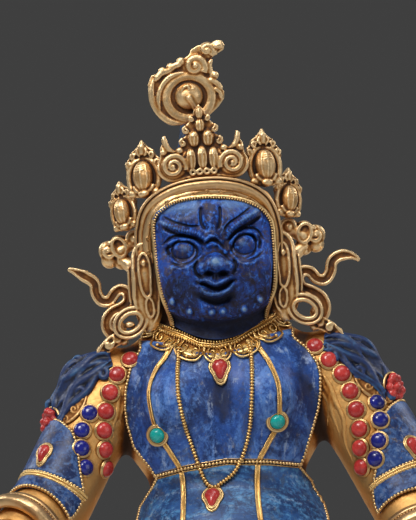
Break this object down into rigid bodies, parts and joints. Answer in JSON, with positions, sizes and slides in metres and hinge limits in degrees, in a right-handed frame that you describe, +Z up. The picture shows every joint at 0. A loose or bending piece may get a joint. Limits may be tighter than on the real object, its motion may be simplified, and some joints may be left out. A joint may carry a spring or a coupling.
{
  "type": "jambhala statue",
  "caption": "Standing pot-bellied Jambhala in gilt copper with a lapis face and plates, coral, lapis and turquoise stones, crown and crest, on a low lotus base.",
  "frame": {"origin": "centre of the base's underside", "axes": "+Z up along the height, the figure faces -Y, +X is to its left, the viewer's right"},
  "size_m": [0.1874, 0.1122, 0.3061],
  "materials": {
    "gilt": "satin fire gilding over copper, brown in the recesses, blue and red paint in places",
    "lapis": "carved and waxed lapis lazuli, veined and mottled",
    "coral": "polished red coral",
    "lapis_bead": "polished deep blue lapis",
    "turquoise": "polished turquoise"
  },
  "bodies": {
    "root": {"armlet_left": "gilt", "armlet_right": "gilt", "bead_chain": "gilt", "belly_plate": "lapis", "bracelet_left": "gilt", "bracelet_right": "gilt", "chest_plate": "lapis", "coral_drop_armlet_left": "coral", "coral_drop_armlet_right": "coral", "coral_drop_chain": "coral", "coral_drop_collar": "coral", "coral_flower_armlet_left": "coral", "coral_flower_armlet_right": "coral", "coral_left_1": "coral", "coral_left_2": "coral", "coral_left_3": "coral", "coral_left_4": "coral", "coral_left_5": "coral", "coral_left_6": "coral", "coral_left_7": "coral", "coral_left_8": "coral", "coral_right_1": "coral", "coral_right_2": "coral", "coral_right_3": "coral", "coral_right_4": "coral", "coral_right_5": "coral", "coral_right_6": "coral", "coral_right_7": "coral", "crest": "gilt", "crown_band": "gilt", "crown_leaf_inner_left": "gilt", "crown_leaf_inner_right": "gilt", "crown_leaf_middle": "gilt", "crown_leaf_outer_left": "gilt", "crown_leaf_outer_right": "gilt", "ear_bow_left": "gilt", "ear_bow_right": "gilt", "filigree_collar": "gilt", "gilt_figure": "gilt", "lapis_bead_left_1": "lapis_bead", "lapis_bead_left_2": "lapis_bead", "lapis_bead_left_3": "lapis_bead", "lapis_bead_left_4": "lapis_bead", "lapis_bead_right_1": "lapis_bead", "lapis_bead_right_2": "lapis_bead", "lapis_bead_right_3": "lapis_bead", "lapis_bead_right_4": "lapis_bead", "lapis_face": "lapis", "lotus_base": "gilt", "lower_arm_plate_left": "lapis", "lower_arm_plate_right": "lapis", "strap_left": "gilt", "strap_right": "gilt", "turquoise_left": "turquoise", "turquoise_right": "turquoise", "upper_arm_plate_left": "lapis", "upper_arm_plate_right": "lapis"}
  },
  "joints": []
}
